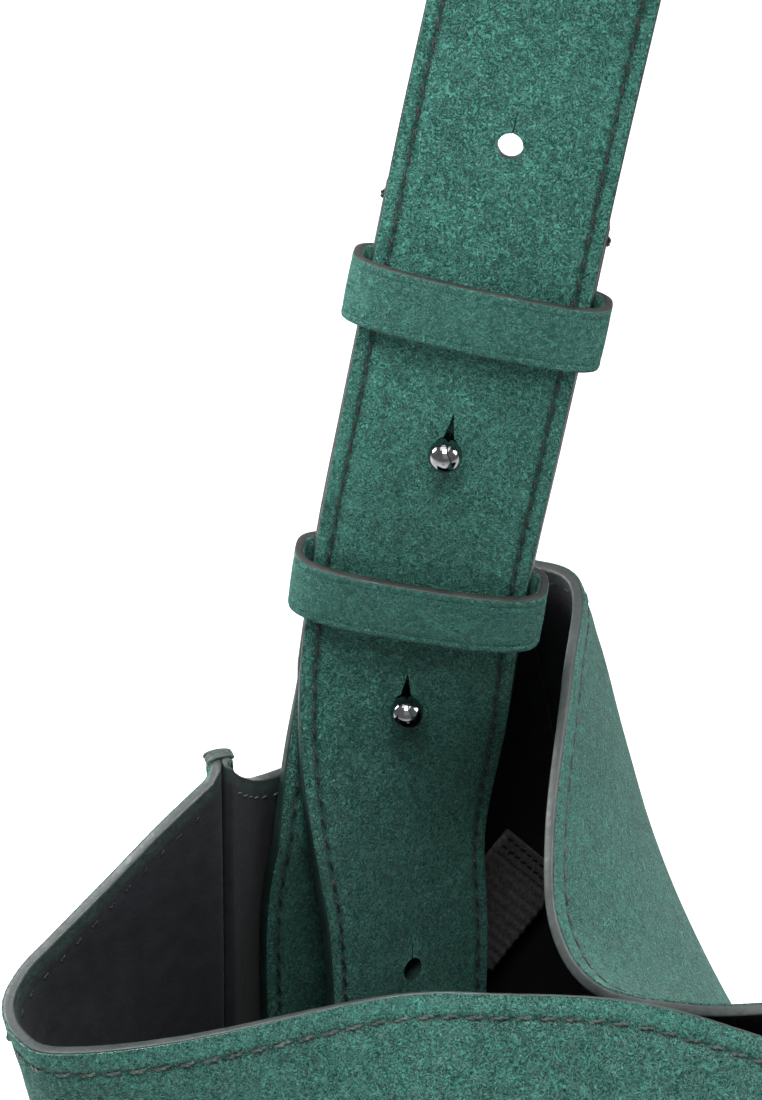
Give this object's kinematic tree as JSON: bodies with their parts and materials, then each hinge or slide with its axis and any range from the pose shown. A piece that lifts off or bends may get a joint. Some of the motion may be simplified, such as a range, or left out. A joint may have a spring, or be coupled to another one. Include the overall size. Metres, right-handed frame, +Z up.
{
  "type": "bucket bag",
  "caption": "Open-topped suede bucket bag with a wide shoulder strap that buttons with ball studs over a sewn-in tab, held by sliding keepers.",
  "frame": {"origin": "middle of the base's underside, where the bag stands", "axes": "+Z up; X from the tab end (-X) to the sewn end (+X) of the strap; -Y is the front wall"},
  "size_m": [0.2206, 0.1958, 0.5576],
  "materials": {
    "suede": "matte napped suede",
    "strap_suede": "matte napped suede",
    "lining": "smooth near-black lining",
    "edge_paint": "satin edge paint",
    "board": "fibre board",
    "webbing": "ribbed webbing",
    "chrome": "polished"
  },
  "bodies": {
    "bag": {"front_wall": "suede", "back_wall": "suede", "tab_gusset": "suede", "sewn_gusset": "suede", "front_wall_lining": "lining", "back_wall_lining": "lining", "tab_gusset_lining": "lining", "sewn_gusset_lining": "lining", "corner_seam_front_tab": "edge_paint", "corner_seam_back_tab": "edge_paint", "corner_seam_back_sewn": "edge_paint", "corner_seam_front_sewn": "edge_paint", "base_panel": "suede", "base_board": "board", "base_lining": "lining", "strap_tail_flex": "strap_suede", "strap_lower": "strap_suede", "strap_tab_flex": "strap_suede", "strap_sewn_flex": "strap_suede", "strap_sewn_end": "strap_suede", "tab_lower": "strap_suede", "tab_flex": "strap_suede", "lower_stud": "chrome", "lower_stud_screw": "chrome", "inner_webbing": "webbing"},
    "strap": {"strap_band": "strap_suede", "tab_upper": "strap_suede", "upper_stud": "chrome", "upper_stud_screw": "chrome"},
    "tail": {"strap_tail": "strap_suede"},
    "lower_keeper": {"lower_keeper": "strap_suede"},
    "upper_keeper": {"upper_keeper": "strap_suede"}
  },
  "joints": [
    {"name": "strap_swing", "type": "hinge", "parent": "bag", "child": "strap", "pos_m": [-0.08572, 0.00474, 0.32648], "axis": [0.9985, -0.0552, -0.0003], "range_deg": [-85, 85], "deforming": ["strap_tab_flex", "tab_flex", "strap_sewn_flex"]},
    {"name": "tail_swing", "type": "hinge", "parent": "bag", "child": "tail", "pos_m": [-0.08979, -0.00178, 0.26105], "axis": [-0.3756, -0.9249, 0.0597], "range_deg": [-8, 30], "stiffness_Nm_per_rad": 0.02, "deforming": ["strap_tail_flex"]},
    {"name": "upper_keeper_slide", "type": "slide", "parent": "strap", "child": "upper_keeper", "axis": [-0.0393, 0.2633, 0.9639], "range_m": [-0.011, 0.011]},
    {"name": "lower_keeper_slide", "type": "slide", "parent": "bag", "child": "lower_keeper", "axis": [0.0874, 0.0853, 0.9925], "range_m": [-0.004, 0.003]}
  ]
}
